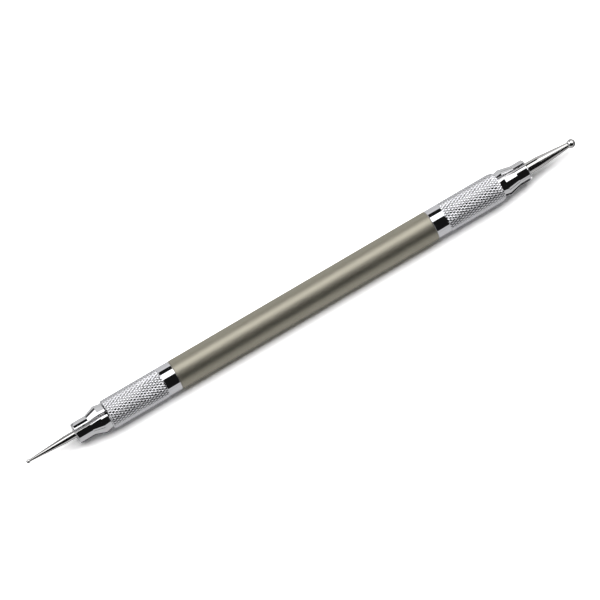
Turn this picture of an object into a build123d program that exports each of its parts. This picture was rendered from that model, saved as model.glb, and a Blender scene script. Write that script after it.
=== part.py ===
from build123d import *
from dataclasses import dataclass
from math import sqrt, tan, radians
import os

# Double-ended embossing stylus with a draw-in collet chuck at each end.
#
# Frame: millimetres. +X runs along the tool towards the large ball, +Z is up, and the
# origin is on the axis at the middle of the barrel. The tool lies on its side.
#
# How it works: a threaded insert is pressed into each end of the barrel tube. The tail of a
# collet screws into the insert, and a knurled sleeve is trapped between the collet's wide
# head and the end of the barrel. Turning the sleeve turns the collet with it. Screwed in,
# the head is drawn into the sleeve's tapered mouth, and its four jaws close on the shank
# of the ball tip. Every end is drawn once in its own outward frame: X = 0 is the end of the
# barrel tube and +X points out towards the ball.

# Barrel tube
barrel_diameter = 7.7
barrel_length = 72.4
barrel_bore = 6.0
barrel_edge_chamfer = 0.15

# Threaded insert, pressed into the barrel, with a spigot that centres the sleeve
insert_depth = 10.0
insert_chamfer = 0.3
spigot_diameter = 5.6
spigot_length = 3.0
thread_diameter = 4.0
thread_lead_in = 0.35

# Grip sleeve, sizes common to both ends: polished band, fine groove, knurled length
sleeve_diameter = 7.7
sleeve_length = 19.3
sleeve_band_length = 3.5
sleeve_edge_chamfer = 0.12
sleeve_groove_width = 0.2
sleeve_groove_depth = 0.1
counterbore_chamfer = 0.2

# Collet, sizes common to both ends
stem_diameter = 5.2
stem_chamfer = 0.2
thread_engagement = 7.0
thread_relief_diameter = 3.1
thread_relief_width = 0.7
tail_chamfer = 0.4
draw_in_travel = 0.6
nose_chamfer = 0.4
bore_mouth_chamfer = 0.12
slot_width = 0.8
slot_reach = 8.0
bore_reach = 10.0
saw_diameter = 20.0

# Sleeve nose and collet of the small-ball end
small_sleeve_nose_length = 0.4
small_sleeve_face_diameter = 7.05
small_head_diameter = 7.45
small_head_standout = 1.95
small_mouth_half_angle = 10.5
small_cone_length = 2.78
small_nose_diameter = 5.4
small_nose_length = 4.16
small_slot_clock = 0.0

# Sleeve nose and collet of the large-ball end
large_sleeve_nose_length = 1.6
large_sleeve_face_diameter = 7.0
large_head_diameter = 7.1
large_head_standout = 1.48
large_mouth_half_angle = 13.5
large_cone_length = 3.25
large_nose_diameter = 5.6
large_nose_length = 3.28
large_slot_clock = -15.0

# Small ball tip
small_shank_diameter = 2.0
small_shank_standout = 2.56
small_taper_length = 10.0
small_neck_diameter = 0.7
small_ball_diameter = 1.1

# Large ball tip
large_shank_diameter = 3.175
large_shank_standout = 3.03
large_taper_length = 8.6
large_neck_diameter = 1.48
large_ball_diameter = 2.3
shank_chamfer = 0.2

# Clearances, all on the radius or straight along the axis
sleeve_running_fit = 0.03
spigot_fit = 0.05
thread_fit = 0.05
shank_fit = 0.02
braze_film = 0.01
counterbore_end_gap = 0.2


@dataclass(frozen=True)
class StylusEnd:
    """Everything that differs between the two ends, in the outward frame."""

    name: str
    outward: int
    sleeve_nose_round: bool
    sleeve_nose_length: float
    sleeve_face_diameter: float
    head_diameter: float
    head_standout: float
    mouth_half_angle: float
    cone_length: float
    nose_diameter: float
    nose_length: float
    slot_clock: float
    shank_diameter: float
    shank_standout: float
    taper_length: float
    neck_diameter: float
    ball_diameter: float

    @property
    def head_x(self):
        """Widest place of the collet's head."""
        return sleeve_length + self.head_standout

    @property
    def mouth_root_x(self):
        """Where the head's back taper has come down to the stem."""
        drop = (self.head_diameter - stem_diameter) / 2
        return self.head_x - drop / tan(radians(self.mouth_half_angle))

    @property
    def face_radius(self):
        """Radius of the head's back taper where it leaves the sleeve."""
        return self.head_diameter / 2 - self.head_standout * tan(radians(self.mouth_half_angle))

    @property
    def cone_foot_x(self):
        return self.head_x + self.cone_length

    @property
    def collet_front_x(self):
        return self.cone_foot_x + self.nose_length

    @property
    def bore_floor_x(self):
        return sleeve_length - bore_reach

    @property
    def bore_radius(self):
        return self.shank_diameter / 2 + shank_fit

    @property
    def neck_x(self):
        return self.collet_front_x + self.shank_standout + self.taper_length

    @property
    def ball_x(self):
        """The rim of the neck lies on the ball's brazed seat."""
        seat_radius = self.ball_diameter / 2 + braze_film
        return self.neck_x + sqrt(seat_radius**2 - (self.neck_diameter / 2) ** 2)

    @property
    def place(self):
        """From the outward frame to the tool's own frame."""
        if self.outward > 0:
            return Location((barrel_length / 2, 0, 0))
        return Location((-barrel_length / 2, 0, 0), (0, 0, 180))


SMALL_END = StylusEnd(
    name="small",
    outward=-1,
    sleeve_nose_round=False,
    sleeve_nose_length=small_sleeve_nose_length,
    sleeve_face_diameter=small_sleeve_face_diameter,
    head_diameter=small_head_diameter,
    head_standout=small_head_standout,
    mouth_half_angle=small_mouth_half_angle,
    cone_length=small_cone_length,
    nose_diameter=small_nose_diameter,
    nose_length=small_nose_length,
    slot_clock=small_slot_clock,
    shank_diameter=small_shank_diameter,
    shank_standout=small_shank_standout,
    taper_length=small_taper_length,
    neck_diameter=small_neck_diameter,
    ball_diameter=small_ball_diameter,
)
LARGE_END = StylusEnd(
    name="large",
    outward=1,
    sleeve_nose_round=True,
    sleeve_nose_length=large_sleeve_nose_length,
    sleeve_face_diameter=large_sleeve_face_diameter,
    head_diameter=large_head_diameter,
    head_standout=large_head_standout,
    mouth_half_angle=large_mouth_half_angle,
    cone_length=large_cone_length,
    nose_diameter=large_nose_diameter,
    nose_length=large_nose_length,
    slot_clock=large_slot_clock,
    shank_diameter=large_shank_diameter,
    shank_standout=large_shank_standout,
    taper_length=large_taper_length,
    neck_diameter=large_neck_diameter,
    ball_diameter=large_ball_diameter,
)


def turned(*corners):
    """A solid turned about X from its closed outline of (x, radius) corners."""
    return revolve(make_face(Polyline(*corners, close=True)), axis=Axis.X)


def barrel_tube():
    """Plain satin tube, open right through."""
    end = barrel_length / 2
    outside = barrel_diameter / 2
    bore = barrel_bore / 2
    return turned(
        (-end, bore),
        (-end, outside - barrel_edge_chamfer),
        (-end + barrel_edge_chamfer, outside),
        (end - barrel_edge_chamfer, outside),
        (end, outside - barrel_edge_chamfer),
        (end, bore),
    )


def insert():
    """Bush flush with the tube's end, its spigot standing out and its bore open right through."""
    body = barrel_bore / 2
    spigot = spigot_diameter / 2
    bore = thread_diameter / 2 + thread_fit
    return turned(
        (-insert_depth, bore + thread_lead_in),
        (-insert_depth, body - insert_chamfer),
        (-insert_depth + insert_chamfer, body),
        (0, body),
        (0, spigot),
        (spigot_length, spigot),
        (spigot_length, bore + thread_lead_in),
        (spigot_length - thread_lead_in, bore),
        (-insert_depth + thread_lead_in, bore),
    )


def sleeve(end):
    """Grip sleeve: counterbore on the spigot, guide bore on the stem, tapered mouth, turned nose."""
    outside = sleeve_diameter / 2
    counterbore = spigot_diameter / 2 + spigot_fit
    counterbore_depth = spigot_length + counterbore_end_gap
    guide = stem_diameter / 2 + sleeve_running_fit
    mouth = end.face_radius + sleeve_running_fit
    nose_start = (sleeve_length - end.sleeve_nose_length, outside)
    nose_end = (sleeve_length, end.sleeve_face_diameter / 2)
    outline = Polyline(
        nose_end,
        (sleeve_length, mouth),
        (end.mouth_root_x, guide),
        (counterbore_depth, guide),
        (counterbore_depth, counterbore),
        (counterbore_chamfer, counterbore),
        (0, counterbore + counterbore_chamfer),
        (0, outside - sleeve_edge_chamfer),
        (sleeve_edge_chamfer, outside),
        (sleeve_band_length, outside),
        (sleeve_band_length + sleeve_groove_width / 2, outside - sleeve_groove_depth),
        (sleeve_band_length + sleeve_groove_width, outside),
        nose_start,
    )
    if end.sleeve_nose_round:
        nose = TangentArc(nose_start, nose_end, tangent=(1, 0))
    else:
        nose = Line(nose_start, nose_end)
    return revolve(make_face(outline + nose), axis=Axis.X)


def slot_cutter(end):
    """One saw cut right across the collet, its floor curved by the saw blade."""
    blade = saw_diameter / 2
    floor_x = sleeve_length - slot_reach
    length = end.collet_front_x - floor_x
    cut = Pos(floor_x + blade, 0) * Circle(blade)
    if length > blade:
        open_end = Rectangle(length - blade, saw_diameter, align=(Align.MIN, Align.CENTER))
        cut += Pos(floor_x + blade, 0) * open_end
    return extrude(cut, slot_width / 2, both=True)


def collet(end):
    """Four-jaw draw-in collet: threaded tail, stem, back taper, cone, nose, bore and saw cuts."""
    stem = stem_diameter / 2
    tail = thread_diameter / 2
    relief = thread_relief_diameter / 2
    tail_x = spigot_length - thread_engagement
    shoulder_x = spigot_length + draw_in_travel
    front_x = end.collet_front_x
    nose = end.nose_diameter / 2
    bore = end.bore_radius
    body = turned(
        (tail_x, 0),
        (tail_x, tail - tail_chamfer),
        (tail_x + tail_chamfer, tail),
        (shoulder_x - thread_relief_width, tail),
        (shoulder_x - thread_relief_width, relief),
        (shoulder_x, relief),
        (shoulder_x, stem - stem_chamfer),
        (shoulder_x + stem_chamfer, stem),
        (end.mouth_root_x, stem),
        (end.head_x, end.head_diameter / 2),
        (end.cone_foot_x, nose),
        (front_x - nose_chamfer, nose),
        (front_x, nose - nose_chamfer),
        (front_x, 0),
    )
    bore_space = turned(
        (end.bore_floor_x, 0),
        (end.bore_floor_x, bore),
        (front_x - bore_mouth_chamfer, bore),
        (front_x, bore + bore_mouth_chamfer),
        (front_x, 0),
    )
    body -= bore_space
    for quarter in (0, 90):
        body -= Rot(X=end.slot_clock + quarter) * slot_cutter(end)
    return body


def shank(end):
    """Straight shank in the collet, then a long taper to the neck with the ball's seat."""
    straight = end.shank_diameter / 2
    body = turned(
        (end.bore_floor_x, 0),
        (end.bore_floor_x, straight - shank_chamfer),
        (end.bore_floor_x + shank_chamfer, straight),
        (end.collet_front_x + end.shank_standout, straight),
        (end.neck_x, end.neck_diameter / 2),
        (end.neck_x, 0),
    )
    seat = Pos(end.ball_x) * Sphere(end.ball_diameter / 2 + braze_film)
    return body - seat


def ball(end):
    return Pos(end.ball_x) * Sphere(end.ball_diameter / 2)


def save(node, solid):
    solid.label = node
    export_step(solid, f"parts/{node}.step")


def main():
    os.makedirs("parts", exist_ok=True)
    save("barrel_tube", barrel_tube())
    for end in (SMALL_END, LARGE_END):
        save(f"{end.name}_end_insert", end.place * insert())
        save(f"{end.name}_end_sleeve", end.place * sleeve(end))
        save(f"{end.name}_end_collet", end.place * collet(end))
        save(f"{end.name}_shank", end.place * shank(end))
        save(f"{end.name}_ball", end.place * ball(end))


main()
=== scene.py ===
"""The looks of a double-ended embossing stylus, built around its packed construction model.

Metres, in the frame of the model: +X along the tool towards the large ball, +Z up, the
origin on the axis at the middle of the barrel. The pieces of one end are first made in an
outward frame, where X = 0 is the end of the barrel tube and +X points out to the ball.
"""

import math

import bmesh
import bpy
from bpy.props import FloatProperty, FloatVectorProperty, IntProperty, PointerProperty
from mathutils import Matrix, Vector


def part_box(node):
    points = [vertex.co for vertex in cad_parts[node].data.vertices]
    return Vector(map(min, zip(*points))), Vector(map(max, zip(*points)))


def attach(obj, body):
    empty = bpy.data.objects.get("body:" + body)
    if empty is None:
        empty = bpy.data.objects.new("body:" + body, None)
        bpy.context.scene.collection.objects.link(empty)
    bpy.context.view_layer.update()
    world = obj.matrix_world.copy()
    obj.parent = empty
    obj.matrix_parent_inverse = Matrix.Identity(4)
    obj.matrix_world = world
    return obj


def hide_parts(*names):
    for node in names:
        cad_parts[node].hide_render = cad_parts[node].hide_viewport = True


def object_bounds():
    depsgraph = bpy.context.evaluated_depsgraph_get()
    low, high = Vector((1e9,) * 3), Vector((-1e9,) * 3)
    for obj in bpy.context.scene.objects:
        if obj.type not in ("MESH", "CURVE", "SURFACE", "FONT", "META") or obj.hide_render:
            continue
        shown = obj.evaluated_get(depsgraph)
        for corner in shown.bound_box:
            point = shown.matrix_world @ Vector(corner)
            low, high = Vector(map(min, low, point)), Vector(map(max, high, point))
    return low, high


bl_info = {
    "name": "Embossing Stylus Maker",
    "version": (1, 0, 0),
    "blender": (4, 5, 0),
    "location": "3D View > Sidebar > Stylus",
    "description": "Makes the turned, knurled and slotted pieces of a double-ended embossing stylus",
    "category": "Object",
}

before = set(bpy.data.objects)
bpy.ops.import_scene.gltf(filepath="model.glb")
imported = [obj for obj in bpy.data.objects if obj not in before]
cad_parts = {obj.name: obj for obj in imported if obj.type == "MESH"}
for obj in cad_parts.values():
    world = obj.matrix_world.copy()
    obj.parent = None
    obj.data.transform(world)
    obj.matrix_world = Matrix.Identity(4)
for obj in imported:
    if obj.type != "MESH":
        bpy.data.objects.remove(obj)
cad_low, cad_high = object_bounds()

MM = 0.001
FULL_TURN = 2 * math.pi
ON_AXIS = 1e-9  # a radius below this counts as none
SHARP_ANGLE = math.radians(50)  # edges that turn by more than this stay sharp
ROUNDING_STEP = math.radians(12)  # the most that one facet of a rounding turns
TAPER_STEP = math.radians(2)  # the same for the long rounding of a tip
THREAD_STEPS = 10  # facets along one turn of a thread
THREAD_FLAT = 0.12  # share of the pitch that is flat at the thread's root, and as much at its crest
THREAD_SLOPE = 1 - 2 * THREAD_FLAT
RIM_STEPS = 4  # facets along the end of a saw cut
JAWS = 4  # parted by two crossing saw cuts
LEAST_RISE = 0.01  # keeps the room's level places finite towards the horizon
SENSOR = 36  # the camera's, in millimetres
CLIPPING = (0.05, 50)  # the nearest and farthest that it sees
# Corners of the lamp and of the softboxes, as shares of their height over the tool
KEY_CORNERS = ((-0.80, -0.05), (0.80, 1.05))
SOFTBOXES = (
    ((-1.60, -0.12), (-0.45, 0.85)),
    ((-0.45, 0.30), (-0.05, 0.95)),
    ((-0.05, 0.055), (0.40, 0.90)),
    ((0.40, -0.33), (1.60, 1.15)),
)

# Looks of the finishes: lengths of their grain along X, Y and Z, the darkest share of the
# colour, how the roughness swings and how deep the relief is
NOISE_RANGE = (0.3, 0.7)
SATIN_GRAIN = (0.12 * MM, 0.12 * MM, 0.12 * MM)
SATIN_CLOUDS = (9 * MM, 3 * MM, 3 * MM)
SATIN_SHADE = 0.94
SATIN_SWING = 0.04
SATIN_RELIEF = 0.004 * MM
BUFFING_MARKS = (0.5 * MM, 0.05 * MM, 0.05 * MM)
BUFFING_SWING = (0.7, 1.3)
PLATING_CLOUDS = (4 * MM, 2 * MM, 2 * MM)
PLATING_SHADE = 0.97
# the darkest share of the chrome deep in the knurl's grooves, painted shade
GROOVE_PAINTED_SHADE = 0.90
LATHE_RINGS = (0.04 * MM, 60 * MM, 60 * MM)
LATHE_SHADE = 0.93
LATHE_SWING = (0.7, 1.4)
LATHE_RELIEF = 0.0006 * MM


# -------- sizes and colours


def size(text, millimetres):
    return FloatProperty(description=text, default=millimetres * MM, unit="LENGTH", precision=5)


def share(text, default):
    return FloatProperty(description=text, default=default, min=0, max=1, subtype="FACTOR")


def amount(text, default):
    return FloatProperty(description=text, default=default, min=0)


def count(text, default):
    return IntProperty(description=text, default=default, min=1)


def turn(text, degrees):
    return FloatProperty(description=text, default=math.radians(degrees), unit="ROTATION")


def colour(text, *rgb):
    return FloatVectorProperty(description=text, default=rgb, size=3, min=0, max=1, subtype="COLOR")


class StylusBarrel(bpy.types.PropertyGroup):
    """Barrel tube and the threaded bush pressed into each of its ends."""

    bore: size("Bore of the barrel tube", 6.0)
    edge_chamfer: size("Chamfer of the tube's ends", 0.15)
    edge_round: size("Rounding of the tube's edges", 0.04)
    thread_clearance: size("Space between the threads", 0.05)
    bush_chamfer: size("Chamfer on the bush's inner end", 0.3)
    spigot_clearance: size("Space round the bush's spigot", 0.05)
    spigot_round: size("Rounding of the spigot's edge", 0.12)
    segments: count("Facets round the barrel", 192)
    bush_segments: count("Facets round the bush", 96)
    colour: colour("Satin lacquer of the barrel", 0.45, 0.425, 0.35)
    bush_colour: colour("Brass of the bush", 0.72, 0.50, 0.23)
    roughness: share("Roughness of the satin finish", 0.46)
    bush_roughness: share("Roughness of the turned brass", 0.25)


class StylusSleeves(bpy.types.PropertyGroup):
    """Polished band, fine groove and diamond knurl of both grip sleeves."""

    band_length: size("Length of the polished band", 3.5)
    groove_width: size("Groove between band and knurl", 0.2)
    groove_depth: size("Depth of that groove", 0.1)
    edge_chamfer: size("Chamfer beside the barrel", 0.12)
    edge_round: size("Rounding of the chamfer's edges", 0.04)
    band_round: size("Rounding of the band at the groove", 0.03)
    lead_in: size("Chamfer at the counterbore's mouth", 0.2)
    counterbore_depth: size("Depth of the bore over the spigot", 3.2)
    counterbore: size("Bore over the spigot", 5.7)
    guide_bore: size("Bore that guides the collet", 5.26)
    mouth_clearance: size("Space between head and mouth", 0.03)
    mouth_round: size("Rounding of the mouth's edge", 0.15)
    knurl_grooves: count("Grooves round the grip in each direction", 32)
    knurl_cell: size("Length of one diamond", 1.48)
    knurl_depth: size("Depth of the knurl's grooves", 0.10)
    knurl_groove_share: share("Share of the pitch that a groove takes", 0.50)
    knurl_land: size("Plain strip between groove and knurl", 0.03)
    knurl_end_gap: size("From the knurl's end to the sleeve's face", 0.12)
    knurl_steps: count("Facets across one diamond", 12)
    colour: colour("Chrome of the sleeves", 0.80, 0.80, 0.83)
    roughness: share("Roughness of the band", 0.04)
    knurl_roughness: share("Roughness inside the knurl", 0.25)


class StylusCollets(bpy.types.PropertyGroup):
    """What the two collets share."""

    stem_diameter: size("Stem in the sleeve", 5.2)
    stem_chamfer: size("Chamfer at the stem's shoulder", 0.2)
    tail_chamfer: size("Chamfer at the thread's end", 0.4)
    thread_diameter: size("Outside diameter of the thread", 4.0)
    thread_pitch: size("Pitch of the thread", 0.7)
    thread_depth: size("Depth of the thread", 0.4)
    relief_diameter: size("Diameter of the thread relief", 3.1)
    relief_width: size("Width of the thread relief", 0.7)
    shoulder: size("Place of the stem's shoulder", 3.6)
    nose_round: size("Rounding of the nose's front edge", 0.42)
    edge_round: size("Rounding of the head's edges", 0.09)
    mouth_chamfer: size("Chamfer of the bore's mouth", 0.12)
    mouth_round: size("Rounding of the chamfer's edge", 0.03)
    bore_clearance: size("Space round the shank", 0.02)
    slot_width: size("Width of the saw cuts", 0.8)
    slot_reach: size("Depth of the cuts behind the sleeve's face", 8.0)
    slot_edge: size("Broken edge along the saw cuts", 0.05)
    bore_reach: size("Depth of the bore behind the sleeve's face", 10.0)
    saw_diameter: size("Diameter of the saw blade", 20.0)
    jaw_segments: count("Facets round one jaw", 26)
    colour: colour("Chrome of the collets", 0.80, 0.80, 0.82)
    roughness: share("Roughness of the collets", 0.035)


class StylusTips(bpy.types.PropertyGroup):
    """What the two ball tips share."""

    shank_chamfer: size("Chamfer of the shank's hidden end", 0.2)
    taper_round: amount("Rounding where the taper begins, in shank radii", 6.0)
    neck_cup: share("Hollow of the neck's end, in ball radii", 0.9)
    segments: count("Facets round a tip", 96)
    colour: colour("Steel of the tips", 0.72, 0.71, 0.70)
    ball_colour: colour("Steel of the balls", 0.74, 0.735, 0.73)
    roughness: share("Roughness of the tips", 0.06)
    ball_roughness: share("Roughness of the balls", 0.03)


END_SIZES = {
    "nose_length": (size, "Length of the sleeve's nose"),
    "nose_steps": (count, "Facets along the sleeve's nose"),
    "nose_round": (size, "Rounding where the nose begins"),
    "face_diameter": (size, "Diameter of the sleeve's face"),
    "face_round": (size, "Rounding of the face's outer edge"),
    "head_diameter": (size, "Widest diameter of the collet"),
    "head_standout": (size, "From the sleeve's face to the head"),
    "mouth_angle": (turn, "Half angle of the mouth's taper"),
    "cone_length": (size, "Length of the cone"),
    "collet_nose_diameter": (size, "Diameter of the collet's nose"),
    "collet_nose_length": (size, "Length of the collet's nose"),
    "slot_clock": (turn, "Turn of the saw cuts from straight up"),
    "shank_diameter": (size, "Diameter of the shank"),
    "shank_standout": (size, "Straight shank outside the collet"),
    "neck_diameter": (size, "Diameter of the neck at the ball"),
}


def end_sizes(**values):
    """The properties of one end, with its own values in millimetres and degrees."""
    return {key: kind(text, values[key]) for key, (kind, text) in END_SIZES.items()}


class StylusSmallEnd(bpy.types.PropertyGroup):
    """Sizes of the small-ball end alone, whose sleeve has a chamfered nose."""

    __annotations__ = end_sizes(
        nose_length=0.4, nose_steps=1, nose_round=0.3, face_diameter=7.05, face_round=0.1,
        head_diameter=7.45, head_standout=1.95, mouth_angle=10.5, cone_length=2.78,
        collet_nose_diameter=5.4, collet_nose_length=4.16, slot_clock=0.0,
        shank_diameter=2.0, shank_standout=2.56, neck_diameter=0.7,
    )


class StylusLargeEnd(bpy.types.PropertyGroup):
    """Sizes of the large-ball end alone, whose sleeve has a rounded nose."""

    __annotations__ = end_sizes(
        nose_length=1.6, nose_steps=12, nose_round=0.0, face_diameter=7.0, face_round=0.06,
        head_diameter=7.1, head_standout=1.48, mouth_angle=13.5, cone_length=3.25,
        collet_nose_diameter=5.6, collet_nose_length=3.28, slot_clock=-15.0,
        shank_diameter=3.175, shank_standout=3.03, neck_diameter=1.48,
    )


class StylusStage(bpy.types.PropertyGroup):
    """Floor, studio light and camera."""

    camera_turn: turn("Bearing of the camera", -31.05)
    camera_rise: turn("Height of the camera", 76.6)
    camera_distance: size("From the camera to the tool", 1500.0)
    field: size("Width of the picture at the tool", 145.45)
    aim_right: size("Picture's centre, right of the origin", -0.87)
    aim_up: size("Picture's centre, above the origin", 0.02)
    floor_side: size("Side of the pale floor", 6000.0)
    floor_colour: colour("Pale floor as the metal mirrors it", 0.58, 0.58, 0.58)
    floor_seen: amount("White of the floor to the camera alone", 1.9)
    card_side: size("Side of each card", 300.0)
    card_colour: colour("Black of the cards", 0.01, 0.01, 0.01)
    card_lift: size("Height of the cards over the floor", 0.02)
    card_gap: size("From each ball to the card beyond it", 2.5)
    card_x: size("From the origin to the card behind the small collet", 63.0)
    card_y: size("From the axis to the card behind the small collet", 17.0)
    lamp_height: size("From the origin up to the lamp", 950.0)
    softbox: amount("Radiance of the softboxes", 1.8)
    key: amount("Radiance of the lamp", 3.7)
    fill: share("Soft light on the floor from all round", 0.04)
    wall_glow: share("Pale walls that metal sees low down", 0.66)
    wall_glow_lean: share("How much paler they are beyond the tool", 0.06)
    room_dark: share("Dark room that metal sees higher up", 0.009)
    wall_height: share("Sine of the pale walls' height", 0.262)
    wall_height_lean: share("How much higher it is beyond the tool", 0.029)
    wall_blur: share("Half of the sine over which they fade", 0.02)
    tall_wall: share("Sine of the taller wall's height", 0.60)
    tall_bearing: turn("Where the taller wall begins on the right", 19.0)
    gap_bearing: turn("Where the wall ends on the left", -9.0)
    window_bearing: turn("Where the window begins on the left", -17.5)
    window_end: turn("Where the window ends on the left", -44.0)
    window_sill: share("Sine of the window sill's height", 0.12)


class StylusSettings(bpy.types.PropertyGroup):
    """All the sizes and colours of the stylus."""

    barrel: PointerProperty(type=StylusBarrel)
    sleeves: PointerProperty(type=StylusSleeves)
    collets: PointerProperty(type=StylusCollets)
    tips: PointerProperty(type=StylusTips)
    small: PointerProperty(type=StylusSmallEnd)
    large: PointerProperty(type=StylusLargeEnd)
    stage: PointerProperty(type=StylusStage)


# -------- places from the frame


class End:
    """One end of the tool: its own sizes, and the places that the frame gives it."""

    def __init__(self, name, settings):
        self.name = name
        self.sizes = getattr(settings, name)
        self.outward = -1 if name == "small" else 1
        self.barrel_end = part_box("barrel_tube")[1].x
        self.place = Matrix.Translation((self.outward * self.barrel_end, 0, 0))
        if self.outward < 0:
            self.place = self.place @ Matrix.Rotation(math.pi, 4, "Z")
        self.sleeve_length = self.span("end_sleeve")[1]
        self.head_x = self.sleeve_length + self.sizes.head_standout
        self.cone_foot_x = self.head_x + self.sizes.cone_length
        self.front_x = self.cone_foot_x + self.sizes.collet_nose_length

    def span(self, part):
        """Where a part of this end begins and ends along the outward axis, and its radius."""
        low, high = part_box(f"{self.name}_{part}")
        start, stop = sorted(self.outward * x - self.barrel_end for x in (low.x, high.x))
        return start, stop, high.z

    def face_radius(self):
        """Radius of the head's back taper where it leaves the sleeve."""
        drop = self.sizes.head_standout * math.tan(self.sizes.mouth_angle)
        return self.sizes.head_diameter / 2 - drop

    def mouth_root_x(self, stem_diameter):
        """Where the head's back taper has come down to the stem."""
        drop = (self.sizes.head_diameter - stem_diameter) / 2
        return self.head_x - drop / math.tan(self.sizes.mouth_angle)

    def hand_in(self, name, mesh, material, body, part, slot):
        """A piece of this end, in its place, that stands for a part and rides on a body."""
        obj = piece(f"{self.name}_{name}", mesh, material, self.place)
        hand_in(obj, body, [f"{self.name}_{part}"])


# -------- turned meshes


def rounded(corners, closed, step=ROUNDING_STEP):
    """Points of an outline whose corners are (x, radius, rounding)."""
    points = []
    last = len(corners) - 1
    for index, (x, radius, rounding) in enumerate(corners):
        here = Vector((x, radius))
        if rounding <= 0 or (not closed and index in (0, last)):
            points.append(here)
            continue
        back = (Vector(corners[index - 1][:2]) - here).normalized()
        ahead = (Vector(corners[(index + 1) % len(corners)][:2]) - here).normalized()
        half = back.angle(ahead) / 2
        centre = here + (back + ahead).normalized() * rounding / math.sin(half)
        reach = rounding / math.tan(half)
        start = here + back * reach - centre
        end = here + ahead * reach - centre
        sweep = start.angle_signed(end)
        steps = max(2, math.ceil(abs(sweep) / step))
        for k in range(steps + 1):
            spoke = start.copy()
            spoke.rotate(Matrix.Rotation(-sweep * k / steps, 2))
            points.append(centre + spoke)
    return points


def filled(points, start, end, spacing):
    """The outline's points with more of them, evenly spaced, on its stretches from start to end."""
    result = []
    for here, after in zip(points, points[1:] + points[:1]):
        result.append(here)
        low, high = sorted((here.x, after.x))
        if low < start - spacing / 2 or high > end + spacing / 2:
            continue
        steps = round((high - low) / spacing)
        result += [here.lerp(after, k / steps) for k in range(1, steps)]
    return result


def vertex(build, x, radius, angle):
    """A new corner at that radius from the X axis and that angle round it."""
    return build.verts.new((x, radius * math.cos(angle), radius * math.sin(angle)))


def turned(outline, closed, segments):
    """A mesh turned about X from an outline of (x, radius) points."""
    build = bmesh.new()
    rings = []
    for x, radius in outline:
        if radius < ON_AXIS:
            rings.append([build.verts.new((x, 0, 0))] * segments)
        else:
            angles = (FULL_TURN * k / segments for k in range(segments))
            rings.append([vertex(build, x, radius, angle) for angle in angles])
    if closed:
        rings.append(rings[0])
    for ring, following in zip(rings, rings[1:]):
        for k in range(segments):
            after = (k + 1) % segments
            add_face(build, ring[k], ring[after], following[after], following[k])
    return finish_mesh(build)


def add_face(build, *corners):
    """A face between the corners that differ, if there are three or more."""
    corners = list(dict.fromkeys(corners))
    if len(corners) > 2:
        build.faces.new(corners)


def finish_mesh(build):
    """The mesh that was built, its faces pointing outwards."""
    mesh = bpy.data.meshes.new("piece")
    bmesh.ops.recalc_face_normals(build, faces=build.faces)
    build.to_mesh(mesh)
    build.free()
    return mesh


def placed(name, data):
    """A new object in the scene, at the origin."""
    obj = bpy.data.objects.new(name, data)
    bpy.context.scene.collection.objects.link(obj)
    return obj


def piece(name, mesh, material, place=None):
    """An object with its finish, smooth except at its sharp edges, its place in its mesh."""
    mesh.shade_smooth()
    mesh.set_sharp_from_angle(angle=SHARP_ANGLE)
    mesh.materials.clear()
    mesh.materials.append(material)
    obj = placed(name, mesh)
    obj.modifiers.new("Even Normals", "WEIGHTED_NORMAL").keep_sharp = True
    bake(obj)
    if place is not None:
        obj.data.transform(place)
    return obj


def bake(obj):
    """Gives the object the plain mesh that its modifiers make."""
    bpy.context.view_layer.update()
    depsgraph = bpy.context.evaluated_depsgraph_get()
    mesh = bpy.data.meshes.new_from_object(
        obj.evaluated_get(depsgraph), preserve_all_data_layers=True, depsgraph=depsgraph
    )
    obj.modifiers.clear()
    obj.data = mesh
    mesh.name = obj.name


def cut_by_nodes(mesh, tree, values, material):
    """The mesh after a Geometry Nodes tree has cut it, with the tree's inputs set by name."""
    obj = placed("cut", mesh)
    modifier = obj.modifiers.new("Cut", "NODES")
    modifier.node_group = tree
    for label, value in {**values, "Material": material}.items():
        modifier[tree.interface.items_tree[label].identifier] = value
    bake(obj)
    result = obj.data
    bpy.data.objects.remove(obj)
    return result


def hand_in(obj, body, nodes):
    """The finished piece stands for its nodes and rides on its body."""
    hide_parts(*nodes)
    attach(obj, body)


# -------- node trees


class Net:
    """Short calls for the nodes and links of a tree."""

    def __init__(self, tree):
        self.tree = tree

    def node(self, kind, inputs=None, **settings):
        """A new node with its settings, and its inputs fed by name or number."""
        made = self.tree.nodes.new(kind)
        for key, value in settings.items():
            setattr(made, key, value)
        for socket, value in (inputs or {}).items():
            self.feed(made.inputs[socket], value)
        return made

    def feed(self, socket, value):
        """Links a socket to another one or to a node's first output, or gives it a plain value."""
        if isinstance(value, bpy.types.Node):
            value = value.outputs[0]
        if isinstance(value, bpy.types.NodeSocket):
            self.tree.links.new(value, socket)
        else:
            socket.default_value = value

    def math(self, operation, *values, clamp=False):
        inputs = dict(enumerate(values))
        return self.node("ShaderNodeMath", inputs, operation=operation, use_clamp=clamp).outputs[0]

    def plus(self, a, b):
        return self.math("ADD", a, b)

    def minus(self, a, b):
        return self.math("SUBTRACT", a, b)

    def times(self, a, b):
        return self.math("MULTIPLY", a, b)


def geometry_tree(name, *inputs):
    """A geometry tree with named inputs, all of them numbers, its net and its inputs."""
    tree = bpy.data.node_groups.new(name, "GeometryNodeTree")
    tree.is_modifier = True
    sockets = [("Geometry", "Geometry"), *((label, "Float") for label in inputs), ("Material", "Material")]
    for label, kind in sockets:
        tree.interface.new_socket(label, in_out="INPUT", socket_type=f"NodeSocket{kind}")
    tree.interface.new_socket("Geometry", in_out="OUTPUT", socket_type="NodeSocketGeometry")
    net = Net(tree)
    return tree, net, net.node("NodeGroupInput").outputs


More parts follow.
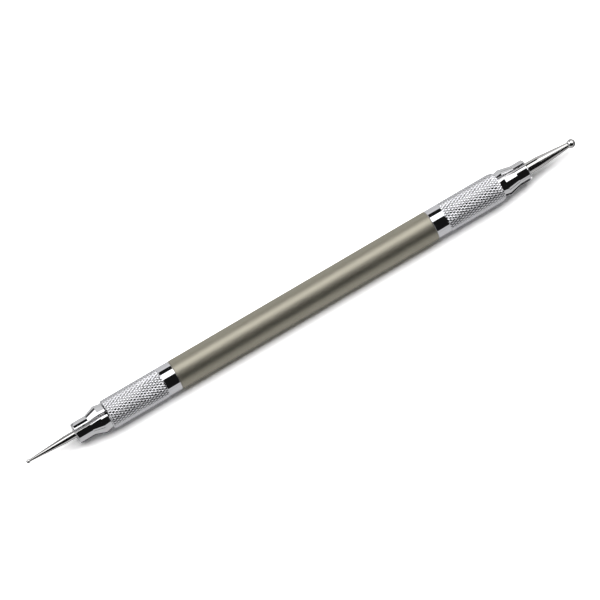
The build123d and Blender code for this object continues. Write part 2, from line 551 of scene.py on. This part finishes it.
def cut_and_close(net, group, radius, new_radius, spot, depth_name, depth):
    """Moves each point to its new radius, keeps the depth as an attribute and ends the tree."""
    ratio = net.math("DIVIDE", new_radius, radius)
    y, z = (net.times(spot.outputs[axis], ratio) for axis in "YZ")
    moved = net.node("ShaderNodeCombineXYZ", {"X": spot.outputs["X"], "Y": y, "Z": z})
    kept = net.node(
        "GeometryNodeStoreNamedAttribute",
        {"Geometry": group["Geometry"], "Name": depth_name, "Value": depth},
        data_type="FLOAT", domain="POINT",
    )
    place = net.node("GeometryNodeSetPosition", {"Geometry": kept, "Position": moved})
    split = net.node("GeometryNodeTriangulate", {0: place}, quad_method="SHORTEST_DIAGONAL")
    real = net.node("GeometryNodeRealizeInstances", {0: split})
    painted = net.node("GeometryNodeSetMaterial", {"Geometry": real, "Material": group["Material"]})
    net.node("NodeGroupOutput", {0: painted})


def round_the_axis(net):
    """Each point's place, its radius from the X axis and its turns round it."""
    spot = net.node("ShaderNodeSeparateXYZ", {0: net.node("GeometryNodeInputPosition")})
    y, z = spot.outputs["Y"], spot.outputs["Z"]
    squares = net.plus(net.times(y, y), net.times(z, z))
    radius = net.math("MAXIMUM", net.math("SQRT", squares), ON_AXIS)
    turns = net.math("DIVIDE", net.math("ARCTAN2", z, y), FULL_TURN)
    return spot, radius, turns


def inside(net, x, group):
    """1 between Start and End along the axis, and 0 elsewhere."""
    after = net.math("GREATER_THAN", x, group["Start"])
    before = net.math("LESS_THAN", x, group["End"])
    return net.times(after, before)


def knurl_tree():
    """Two crossing sets of helical grooves, which leave flat-topped diamonds."""
    tree, net, group = geometry_tree(
        "Diamond Knurl", "Grooves", "Cell", "Depth", "Groove Share", "Least Radius", "Start", "End"
    )
    spot, radius, turns = round_the_axis(net)
    x = spot.outputs["X"]
    around = net.times(turns, group["Grooves"])
    along = net.math("DIVIDE", net.minus(x, group["Start"]), group["Cell"])
    half_share = net.times(group["Groove Share"], 0.5)
    walls = []
    for way in ("ADD", "SUBTRACT"):
        from_groove = net.math("PINGPONG", net.math(way, around, along), 0.5)
        walls.append(net.math("DIVIDE", from_groove, half_share, clamp=True))
    height = net.math("MINIMUM", *walls)
    outside = net.math("GREATER_THAN", radius, group["Least Radius"])
    zone = net.times(inside(net, x, group), outside)
    cut = net.times(net.minus(1.0, height), zone)
    floor = net.minus(radius, net.times(cut, group["Depth"]))
    cut_and_close(net, group, radius, floor, spot, "groove", cut)
    return tree


def thread_tree(outwards):
    """A single-start thread, cut outwards from a bore with 1 or inwards from a rod with -1."""
    name = "Inside Thread" if outwards > 0 else "Outside Thread"
    tree, net, group = geometry_tree(name, "Pitch", "Depth", "Radius", "Start", "End")
    spot, radius, turns = round_the_axis(net)
    x = spot.outputs["X"]
    phase = net.minus(net.math("DIVIDE", x, group["Pitch"]), turns)
    ridge = net.times(net.math("PINGPONG", phase, 0.5), 2.0)
    slope, offset = 1 / THREAD_SLOPE, -THREAD_FLAT / THREAD_SLOPE
    height = net.math("MULTIPLY_ADD", ridge, slope, offset, clamp=True)
    zone = inside(net, x, group)
    groove = net.times(net.minus(1.0, height), zone)
    floor = net.math("MULTIPLY_ADD", net.times(groove, group["Depth"]), outwards, group["Radius"])
    cut = net.math("MAXIMUM", net.times(net.minus(floor, radius), outwards), 0.0)
    new_radius = net.math("MULTIPLY_ADD", net.times(cut, zone), outwards, radius)
    cut_and_close(net, group, radius, new_radius, spot, "thread", groove)
    return tree


# -------- finishes


def metal(name):
    """A new metal, its net, its shader and the place of each point in metres."""
    material = bpy.data.materials.new(name)
    material.use_nodes = True
    net = Net(material.node_tree)
    shader = material.node_tree.nodes["Principled BSDF"]
    shader.inputs["Metallic"].default_value = 1.0
    place = net.node("ShaderNodeTexCoord").outputs["Object"]
    return material, net, shader, place


def noise(net, place, grain, detail=3.0):
    """Noise whose grain has these lengths in metres along X, Y and Z."""
    mapping = net.node("ShaderNodeMapping", {"Vector": place, "Scale": [1 / extent for extent in grain]})
    return net.node("ShaderNodeTexNoise", {"Vector": mapping, "Scale": 1.0, "Detail": detail})


def spread(net, value, low=0.0, high=1.0):
    """Noise brought to a range from low to high."""
    ends = {"From Min": NOISE_RANGE[0], "From Max": NOISE_RANGE[1], "To Min": low, "To Max": high}
    return net.node("ShaderNodeMapRange", {"Value": value, **ends}).outputs[0]


def tint(net, shader, value, colour, darker):
    """Paints the metal in the colour, and in a darker share of it where the value is low."""
    dark = [part * darker for part in colour]
    mix = net.node(
        "ShaderNodeMix", {"Factor": value, "A": [*dark, 1], "B": [*colour, 1]}, data_type="RGBA"
    )
    net.feed(shader.inputs["Base Color"], mix.outputs["Result"])


def bump(net, shader, height, distance):
    """Fine relief in the metal's surface."""
    relief = net.node("ShaderNodeBump", {"Height": height, "Distance": distance})
    net.feed(shader.inputs["Normal"], relief)


def satin_finish(settings):
    """Fine blasted and lacquered metal, with a slight draw along the barrel."""
    material, net, shader, place = metal("Satin Barrel")
    grain = noise(net, place, SATIN_GRAIN, detail=2.0)
    clouds = noise(net, place, SATIN_CLOUDS)
    tint(net, shader, spread(net, clouds), settings.colour, SATIN_SHADE)
    low, high = settings.roughness - SATIN_SWING, settings.roughness + SATIN_SWING
    net.feed(shader.inputs["Roughness"], spread(net, grain, low, high))
    bump(net, shader, grain, SATIN_RELIEF)
    return material


def plated_finish(name, colour, roughness, attribute=None, attribute_roughness=0.0):
    """Polished chrome with faint buffing marks, rougher where an attribute says so and darker there with
    painted shade.
    """
    material, net, shader, place = metal(name)
    marks = noise(net, place, BUFFING_MARKS, detail=2.0)
    rough = spread(net, marks, *(roughness * swing for swing in BUFFING_SWING))
    if attribute is None:
        tint(net, shader, spread(net, noise(net, place, PLATING_CLOUDS)), colour, PLATING_SHADE)
    else:
        depth = net.node("ShaderNodeAttribute", attribute_name=attribute).outputs["Fac"]
        rough = net.plus(rough, net.times(depth, attribute_roughness - roughness))
        # painted shade: the chrome darkens as the groove deepens
        tint(net, shader, net.minus(1.0, depth), colour, GROOVE_PAINTED_SHADE)
    net.feed(shader.inputs["Roughness"], rough)
    return material


def turned_finish(name, colour, roughness):
    """Metal turned and polished in the lathe, with faint rings round the axis."""
    material, net, shader, place = metal(name)
    rings = noise(net, place, LATHE_RINGS, detail=4.0)
    tint(net, shader, spread(net, rings), colour, LATHE_SHADE)
    rough = spread(net, rings, *(roughness * swing for swing in LATHE_SWING))
    net.feed(shader.inputs["Roughness"], rough)
    bump(net, shader, rings, LATHE_RELIEF)
    return material


# -------- pieces


def barrel_mesh(barrel):
    low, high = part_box("barrel_tube")
    outside, bore, chamfer, edge = high.z, barrel.bore / 2, barrel.edge_chamfer, barrel.edge_round
    corners = [
        (low.x, bore, 0),
        (low.x, outside - chamfer, edge),
        (low.x + chamfer, outside, edge),
        (high.x - chamfer, outside, edge),
        (high.x, outside - chamfer, edge),
        (high.x, bore, 0),
    ]
    return turned(rounded(corners, True), True, barrel.segments)


def threaded(mesh, collets, outwards, radius, start, stop, material):
    """The mesh with the collets' thread cut into it from start to stop."""
    values = {
        "Pitch": collets.thread_pitch, "Depth": collets.thread_depth, "Radius": radius,
        "Start": start, "End": stop,
    }
    return cut_by_nodes(mesh, thread_tree(outwards), values, material)


def bush_mesh(end, barrel, sleeves, collets, material):
    """The bush in the barrel, whose spigot fits the sleeve's counterbore."""
    start, spigot_end, body = end.span("end_insert")
    spigot = sleeves.counterbore / 2 - barrel.spigot_clearance
    bore = collets.thread_diameter / 2 + barrel.thread_clearance - collets.thread_depth
    lead_in = collets.thread_depth
    corners = [
        (start, bore + lead_in, 0),
        (start, body - barrel.bush_chamfer, 0),
        (start + barrel.bush_chamfer, body, 0),
        (0, body, 0),
        (0, spigot, 0),
        (spigot_end, spigot, barrel.spigot_round),
        (spigot_end, bore + lead_in, 0),
        (spigot_end - lead_in, bore, 0),
        (start + lead_in, bore, 0),
    ]
    spacing = collets.thread_pitch / THREAD_STEPS
    outline = filled(rounded(corners, True), start + lead_in, spigot_end - lead_in, spacing)
    mesh = turned(outline, True, barrel.bush_segments)
    return threaded(mesh, collets, 1, bore, start + lead_in / 2, spigot_end - lead_in / 2, material)


def sleeve_mesh(end, sleeves, collets, material):
    _, face_x, outside = end.span("end_sleeve")
    guide, counterbore = sleeves.guide_bore / 2, sleeves.counterbore / 2
    mouth = end.face_radius() + sleeves.mouth_clearance
    face = end.sizes.face_diameter / 2
    band_end = sleeves.band_length
    knurl_start = band_end + sleeves.groove_width
    grip_start = knurl_start + sleeves.knurl_land
    nose_start = face_x - end.sizes.nose_length
    drop = outside - face
    nose_radius = (drop**2 + end.sizes.nose_length**2) / (2 * drop)
    nose = []
    for k in range(end.sizes.nose_steps):
        x = end.sizes.nose_length * k / end.sizes.nose_steps
        radius = outside - nose_radius + math.sqrt(nose_radius**2 - x**2)
        nose.append((nose_start + x, radius, 0 if k else end.sizes.nose_round))
    corners = [
        *nose,
        (face_x, face, end.sizes.face_round),
        (face_x, mouth, sleeves.mouth_round),
        (end.mouth_root_x(collets.stem_diameter), guide, 0),
        (sleeves.counterbore_depth, guide, 0),
        (sleeves.counterbore_depth, counterbore, 0),
        (sleeves.lead_in, counterbore, 0),
        (0, counterbore + sleeves.lead_in, 0),
        (0, outside - sleeves.edge_chamfer, sleeves.edge_round),
        (sleeves.edge_chamfer, outside, sleeves.edge_round),
        (band_end, outside, sleeves.band_round),
        (band_end + sleeves.groove_width / 2, outside - sleeves.groove_depth, 0),
        (knurl_start, outside, 0),
        (grip_start, outside, 0),
    ]
    spacing = sleeves.knurl_cell / sleeves.knurl_steps
    outline = filled(rounded(corners, True), grip_start, nose_start, spacing)
    segments = sleeves.knurl_grooves * sleeves.knurl_steps
    mesh = turned(outline, True, segments)
    values = {
        "Grooves": float(sleeves.knurl_grooves), "Cell": sleeves.knurl_cell,
        "Depth": sleeves.knurl_depth, "Groove Share": sleeves.knurl_groove_share,
        "Least Radius": (face + mouth) / 2, "Start": knurl_start + sleeves.knurl_land / 3,
        "End": face_x - sleeves.knurl_end_gap,
    }
    return cut_by_nodes(mesh, knurl_tree(), values, material)


def jaw_bore(end, collets):
    """Radius of the bore between the jaws."""
    return end.sizes.shank_diameter / 2 + collets.bore_clearance


def collet_outline(end, collets):
    """The collet's outline from the middle of its tail round the nose to the floor of its bore."""
    sizes = end.sizes
    tail_x = end.span("end_collet")[0]
    tail, stem = collets.thread_diameter / 2, collets.stem_diameter / 2
    relief, shoulder = collets.relief_diameter / 2, collets.shoulder
    relief_x = shoulder - collets.relief_width
    nose, bore = sizes.collet_nose_diameter / 2, jaw_bore(end, collets)
    floor_x = end.sleeve_length - collets.bore_reach
    corners = [
        (tail_x, 0, 0),
        (tail_x, tail - collets.tail_chamfer, 0),
        (tail_x + collets.tail_chamfer, tail, 0),
        (relief_x, tail, 0),
        (relief_x, relief, 0),
        (shoulder, relief, 0),
        (shoulder, stem - collets.stem_chamfer, 0),
        (shoulder + collets.stem_chamfer, stem, 0),
        (slot_end_x(end, collets, stem), stem, 0),
        (end.mouth_root_x(collets.stem_diameter), stem, 0),
        (end.head_x, sizes.head_diameter / 2, collets.edge_round),
        (end.cone_foot_x, nose, collets.edge_round),
        (end.front_x, nose, collets.nose_round),
        (end.front_x, bore + collets.mouth_chamfer, collets.mouth_round),
        (end.front_x - collets.mouth_chamfer, bore, 0),
        (slot_end_x(end, collets, bore), bore, 0),
        (floor_x, bore, 0),
        (floor_x, 0, 0),
    ]
    spacing = collets.thread_pitch / THREAD_STEPS
    return filled(rounded(corners, False), tail_x + collets.tail_chamfer, relief_x, spacing)


def slot_end_x(end, collets, radius):
    """Where the saw blade's rim crosses that radius."""
    blade = collets.saw_diameter / 2
    middle = end.sleeve_length - collets.slot_reach + blade
    return middle - math.sqrt(blade**2 - radius**2)


def nearest(outline, x, radius):
    """Which point of the outline is nearest to that place."""
    spot = Vector((x, radius))
    return min(range(len(outline)), key=lambda k: (outline[k] - spot).length)


def collet_mesh(end, collets, material):
    """Four jaws parted by two crossing saw cuts, on one threaded stem.

    Each point of the outline gives a row of four columns, one for each jaw. A column holds the
    middle of the slot before its jaw, the slot's wall, the jaw's facets and the next wall.
    """
    outline = collet_outline(end, collets)
    stem, bore = collets.stem_diameter / 2, jaw_bore(end, collets)
    first, last = (nearest(outline, slot_end_x(end, collets, radius), radius) for radius in (stem, bore))
    half_slot, broken, steps = collets.slot_width / 2, collets.slot_edge, collets.jaw_segments
    columns = steps + 4  # the middle, a wall, the facets' edges and the next wall
    square = FULL_TURN / JAWS
    turns = [(jaw + 1) * square + end.outward * end.sizes.slot_clock for jaw in range(JAWS)]
    build = bmesh.new()
    rows = []
    for k, point in enumerate(outline):
        x, radius = point
        if radius < ON_AXIS:
            middle = build.verts.new((x, 0, 0))
            rows.append([[middle] * columns] * JAWS)
            continue
        ahead = outline[min(k + 1, len(outline) - 1)] - outline[max(k - 1, 0)]
        inward = Vector((ahead.y, -ahead.x)).normalized()
        in_cut = first < k < last
        wall = point + inward * broken if in_cut else point
        reference = max(radius, bore)
        wall_angle = math.asin(half_slot / (wall.y if in_cut else reference))
        edge_angle = math.asin((half_slot + broken) / reference)
        angles = [edge_angle + (square - 2 * edge_angle) * step / steps for step in range(steps + 1)]
        rows.append([
            [
                None if in_cut else vertex(build, x, radius, bearing),
                vertex(build, *wall, bearing + wall_angle),
                *(vertex(build, x, radius, bearing + angle) for angle in angles),
                vertex(build, *wall, bearing + square - wall_angle),
            ]
            for bearing in turns
        ])
    for k, (row, after) in enumerate(zip(rows, rows[1:])):
        for jaw in range(JAWS):
            near, far = row[jaw], after[jaw]
            for c in range(1, len(near) - 1):
                add_face(build, near[c], near[c + 1], far[c + 1], far[c])
            if not first <= k < last:
                add_face(build, near[0], near[1], far[1], far[0])
                add_face(build, row[jaw - 1][-1], near[0], far[0], after[jaw - 1][-1])
    for jaw, bearing in enumerate(turns):
        close_cut(build, end, collets, bearing, [
            [row[jaw][1] for row in rows[first:last + 1]],
            [rows[first][jaw][0], rows[last][jaw][0]],
            [row[jaw - 1][-1] for row in rows[first:last + 1]],
        ])
    mesh = finish_mesh(build)
    start = end.span("end_collet")[0] - collets.tail_chamfer
    stop = collets.shoulder - collets.relief_width
    return threaded(mesh, collets, -1, collets.thread_diameter / 2, start, stop, material)


def close_cut(build, end, collets, bearing, lines):
    """Both walls of a saw cut and its round end, from the lines of one wall, middle and other wall."""
    stem, bore = collets.stem_diameter / 2, jaw_bore(end, collets)
    radii = [stem + (bore - stem) * step / RIM_STEPS for step in range(1, RIM_STEPS)]
    half_slot = collets.slot_width / 2
    rims = []
    for across, line in zip((half_slot, 0, -half_slot), lines):
        rim = []
        for radius in radii:
            angle = bearing + math.asin(across / radius)
            rim.append(vertex(build, slot_end_x(end, collets, radius), radius, angle))
        if across:
            build.faces.new(line + rim[::-1])
        rims.append([line[0], *rim, line[-1]])
    for left, right in zip(rims, rims[1:]):
        for step in range(RIM_STEPS):
            add_face(build, left[step], right[step], right[step + 1], left[step + 1])


def shank_mesh(end, tips):
    floor_x = end.span("shank")[0]
    straight, neck = end.sizes.shank_diameter / 2, end.sizes.neck_diameter / 2
    ball_start, ball_end, ball_radius = end.span("ball")
    centre = (ball_start + ball_end) / 2
    corners = [
        (floor_x, 0, 0),
        (floor_x, straight - tips.shank_chamfer, 0),
        (floor_x + tips.shank_chamfer, straight, 0),
        (end.front_x + end.sizes.shank_standout, straight, tips.taper_round * straight),
        (centre - math.sqrt(ball_radius**2 - neck**2), neck, 0),
        (centre - ball_radius * tips.neck_cup, 0, 0),
    ]
    return turned(rounded(corners, False, TAPER_STEP), False, tips.segments)


def ball_mesh(end, tips):
    start, stop, _ = end.span("ball")
    centre, radius = (start + stop) / 2, (stop - start) / 2
    steps = tips.segments // 2
    angles = [math.pi * k / steps for k in range(steps + 1)]
    outline = [(centre - radius * math.cos(angle), radius * math.sin(angle)) for angle in angles]
    return turned(outline, False, tips.segments)


# -------- stage


def level_square(name, low, high, z):
    """A level rectangle from its low to its high corner, and its new material."""
    mesh = bpy.data.meshes.new(name)
    corners = [(low[0], low[1], z), (high[0], low[1], z), (high[0], high[1], z), (low[0], high[1], z)]
    mesh.from_pydata(corners, [], [(0, 1, 2, 3)])
    obj = placed(name, mesh)
    material = bpy.data.materials.new(name)
    material.use_nodes = True
    mesh.materials.append(material)
    return obj, material


def floor(stage):
    """A pale floor, which the camera alone sees as white."""
    half = stage.floor_side / 2
    _, material = level_square("studio_floor", (-half, -half), (half, half), cad_low.z)
    net = Net(material.node_tree)
    mirrored = net.node("ShaderNodeBsdfDiffuse", {"Color": [*stage.floor_colour, 1]})
    seen = net.node("ShaderNodeBsdfDiffuse", {"Color": [stage.floor_seen] * 3 + [1]})
    by_camera = net.node("ShaderNodeLightPath").outputs["Is Camera Ray"]
    either = net.node("ShaderNodeMixShader", {0: by_camera, 1: mirrored, 2: seen})
    net.feed(material.node_tree.nodes["Material Output"].inputs["Surface"], either)


def black_card(stage, name, corner, outward):
    """A black card flat on the floor, from its corner outwards and away, which only the metal sees."""
    x, y = corner
    low_x, high_x = sorted((x, x + outward * stage.card_side))
    z = cad_low.z + stage.card_lift
    obj, material = level_square(name, (low_x, y), (high_x, y + stage.card_side), z)
    obj.visible_camera = obj.visible_diffuse = obj.visible_shadow = False
    shader = material.node_tree.nodes["Principled BSDF"]
    shader.inputs["Base Color"].default_value = (*stage.card_colour, 1)
    shader.inputs["Roughness"].default_value = 1


def black_cards(stage):
    """Cards that give the chrome its dark edges: one past each ball, one behind the small collet."""
    near = -stage.card_side / 2
    black_card(stage, "card_past_small_ball", (cad_low.x - stage.card_gap, near), -1)
    black_card(stage, "card_past_large_ball", (cad_high.x + stage.card_gap, near), 1)
    black_card(stage, "card_behind_small_collet", (-stage.card_x, stage.card_y), -1)


def key_lamp(stage):
    """The level lamp that lights the floor, and that metal doesn't mirror."""
    (left, near), (right, far) = KEY_CORNERS
    height = stage.lamp_height
    data = bpy.data.lights.new("key", "AREA")
    data.shape = "RECTANGLE"
    data.size = (right - left) * height
    data.size_y = (far - near) * height
    data.energy = stage.key * data.size * data.size_y * math.pi
    obj = placed("key", data)
    obj.location = ((left + right) / 2 * height, (near + far) / 2 * height, height)
    obj.visible_glossy = False


def within(net, x, y, low, high):
    """1 where x and y are inside the rectangle from its low to its high corner, and 0 elsewhere."""
    half_x, half_y = (high[0] - low[0]) / 2, (high[1] - low[1]) / 2
    across = net.math("COMPARE", x, low[0] + half_x, half_x)
    return net.times(across, net.math("COMPARE", y, low[1] + half_y, half_y))


def room_seen(net, stage):
    """What metal mirrors of the dark room: softboxes overhead, a window on the left and pale walls.

    A softbox's corners are shares of its height, as if it hung level over the tool.
    """
    outward = net.node("ShaderNodeTexCoord").outputs["Generated"]
    direction = net.node("ShaderNodeSeparateXYZ", {0: outward})
    x, y, z = (direction.outputs[axis] for axis in "XYZ")
    beyond = net.math("GREATER_THAN", y, 0.0)
    bearing = net.math("ARCTAN2", x, y)
    tall = net.times(beyond, net.math("GREATER_THAN", bearing, stage.tall_bearing))
    gap = net.times(beyond, net.math("LESS_THAN", bearing, stage.gap_bearing))
    window = net.times(gap, net.math("LESS_THAN", bearing, stage.window_bearing))
    window = net.times(window, net.math("GREATER_THAN", bearing, stage.window_end))
    window = net.times(window, net.math("GREATER_THAN", z, stage.window_sill))
    top = net.math("MULTIPLY_ADD", y, stage.wall_height_lean, stage.wall_height)
    top = net.math("MULTIPLY_ADD", tall, stage.tall_wall - stage.wall_height, top)
    ends = {"From Min": -stage.wall_blur, "From Max": stage.wall_blur, "To Min": 1.0, "To Max": 0.0}
    wall = net.node(
        "ShaderNodeMapRange", {"Value": net.minus(z, top), **ends}, interpolation_type="SMOOTHSTEP"
    )
    glow = net.math("MULTIPLY_ADD", y, stage.wall_glow_lean, stage.wall_glow)
    glow = net.times(glow, net.math("SUBTRACT", wall.outputs[0], gap, clamp=True))
    above = net.math("MAXIMUM", z, LEAST_RISE)
    level_x, level_y = net.math("DIVIDE", x, above), net.math("DIVIDE", y, above)
    bright = window
    for low, high in SOFTBOXES:
        bright = net.math("MAXIMUM", bright, within(net, level_x, level_y, low, high))
    glow = net.math("MULTIPLY_ADD", bright, stage.softbox, glow)
    return net.plus(glow, stage.room_dark)


def studio_light(stage):
    """A lamp for the floor, and a world that metal sees as a room with softboxes."""
    key_lamp(stage)
    world = bpy.data.worlds.new("studio")
    bpy.context.scene.world = world
    world.use_nodes = True
    world.cycles.sampling_method = "NONE"
    net = Net(world.node_tree)
    background = world.node_tree.nodes["Background"]
    path = net.node("ShaderNodeLightPath").outputs
    by_camera = path["Is Camera Ray"]
    by_metal = net.math("MAXIMUM", path["Is Glossy Ray"], path["Is Transmission Ray"])
    by_floor = net.minus(1.0, net.math("MAXIMUM", by_metal, by_camera))
    seen = net.plus(by_camera, net.times(by_metal, room_seen(net, stage)))
    net.feed(background.inputs["Strength"], net.math("MULTIPLY_ADD", by_floor, stage.fill, seen))
    background.inputs["Color"].default_value = (1, 1, 1, 1)


def photo_camera(stage):
    """A long lens from nearly overhead, as in the photograph."""
    turned_by, rise = stage.camera_turn, stage.camera_rise
    back = Vector((
        math.sin(turned_by) * math.cos(rise), -math.cos(turned_by) * math.cos(rise), math.sin(rise)
    ))
    right = Vector((math.cos(turned_by), math.sin(turned_by), 0))
    aim = right * stage.aim_right + back.cross(right) * stage.aim_up
    data = bpy.data.cameras.new("camera")
    data.sensor_width = data.sensor_height = SENSOR
    data.lens = SENSOR * stage.camera_distance / stage.field
    data.clip_start, data.clip_end = CLIPPING
    camera = placed("camera", data)
    camera.location = aim + back * stage.camera_distance
    camera.rotation_euler = (-back).to_track_quat("-Z", "Y").to_euler()
    bpy.context.scene.camera = camera


# -------- operators and panel


def both_ends(settings):
    return [End("small", settings), End("large", settings)]


class STYLUS_OT_stage(bpy.types.Operator):
    """Lay the pale floor, hang the soft light and place the camera"""

    bl_idname = "stylus.stage"
    bl_label = "Stage"

    def execute(self, context):
        stage = context.scene.stylus.stage
        context.scene.view_settings.view_transform = "Standard"
        floor(stage)
        black_cards(stage)
        studio_light(stage)
        photo_camera(stage)
        return {"FINISHED"}


class STYLUS_OT_barrel(bpy.types.Operator):
    """Make the satin barrel tube and the threaded bushes in its ends"""

    bl_idname = "stylus.barrel"
    bl_label = "Barrel"

    def execute(self, context):
        settings = context.scene.stylus
        barrel = settings.barrel
        tube = piece("barrel_tube_satin", barrel_mesh(barrel), satin_finish(barrel))
        hand_in(tube, "barrel", ["barrel_tube"])
        brass = turned_finish("Bush Brass", barrel.bush_colour, barrel.bush_roughness)
        for end in both_ends(settings):
            mesh = bush_mesh(end, barrel, settings.sleeves, settings.collets, brass)
            end.hand_in("end_bush", mesh, brass, "barrel", "end_insert", "insert_brass")
        return {"FINISHED"}


class STYLUS_OT_sleeves(bpy.types.Operator):
    """Make the two chromed sleeves with their bands and diamond knurls"""

    bl_idname = "stylus.sleeves"
    bl_label = "Sleeves"

    def execute(self, context):
        settings = context.scene.stylus
        sleeves = settings.sleeves
        chrome = plated_finish(
            "Sleeve Chrome", sleeves.colour, sleeves.roughness, "groove", sleeves.knurl_roughness
        )
        for end in both_ends(settings):
            mesh = sleeve_mesh(end, sleeves, settings.collets, chrome)
            body = f"{end.name}_sleeve"
            end.hand_in("end_sleeve_knurled", mesh, chrome, body, "end_sleeve", "sleeve_chrome")
        return {"FINISHED"}


class STYLUS_OT_collets(bpy.types.Operator):
    """Make the two polished four-jaw collets"""

    bl_idname = "stylus.collets"
    bl_label = "Collets"

    def execute(self, context):
        settings = context.scene.stylus
        collets = settings.collets
        chrome = plated_finish("Collet Chrome", collets.colour, collets.roughness)
        for end in both_ends(settings):
            mesh = collet_mesh(end, collets, chrome)
            body = f"{end.name}_collet"
            end.hand_in("end_collet_polished", mesh, chrome, body, "end_collet", "collet_chrome")
        return {"FINISHED"}


class STYLUS_OT_tips(bpy.types.Operator):
    """Make the two tapered steel shanks and their balls"""

    bl_idname = "stylus.tips"
    bl_label = "Ball Tips"

    def execute(self, context):
        settings = context.scene.stylus
        tips = settings.tips
        steel = turned_finish("Tip Steel", tips.colour, tips.roughness)
        polished = plated_finish("Ball Steel", tips.ball_colour, tips.ball_roughness)
        for end in both_ends(settings):
            body = f"{end.name}_stylus"
            end.hand_in("shank_polished", shank_mesh(end, tips), steel, body, "shank", "tip_steel")
            end.hand_in("ball_polished", ball_mesh(end, tips), polished, body, "ball", "ball_steel")
        return {"FINISHED"}


class STYLUS_PT_maker(bpy.types.Panel):
    """Lists the steps that make the stylus"""

    bl_idname = "STYLUS_PT_maker"
    bl_label = "Embossing Stylus"
    bl_space_type = "VIEW_3D"
    bl_region_type = "UI"
    bl_category = "Stylus"

    def draw(self, context):
        for operator in OPERATORS:
            self.layout.operator(operator.bl_idname)
        for group in StylusSettings.__annotations__:
            box = self.layout.box()
            box.label(text=group.capitalize())
            settings = getattr(context.scene.stylus, group)
            for key in settings.bl_rna.properties.keys():
                if key not in ("rna_type", "name"):
                    box.prop(settings, key, text=key.replace("_", " ").title())


GROUPS = (
    StylusBarrel, StylusSleeves, StylusCollets, StylusTips, StylusSmallEnd, StylusLargeEnd, StylusStage,
    StylusSettings,
)
OPERATORS = (STYLUS_OT_stage, STYLUS_OT_barrel, STYLUS_OT_sleeves, STYLUS_OT_collets, STYLUS_OT_tips)


def register():
    for cls in (*GROUPS, *OPERATORS, STYLUS_PT_maker):
        bpy.utils.register_class(cls)
    bpy.types.Scene.stylus = PointerProperty(type=StylusSettings)


def unregister():
    del bpy.types.Scene.stylus
    for cls in reversed((*GROUPS, *OPERATORS, STYLUS_PT_maker)):
        bpy.utils.unregister_class(cls)


def main():
    register()
    bpy.ops.stylus.stage()
    bpy.ops.stylus.barrel()
    bpy.ops.stylus.sleeves()
    bpy.ops.stylus.collets()
    bpy.ops.stylus.tips()


if __name__ == "__main__":
    main()
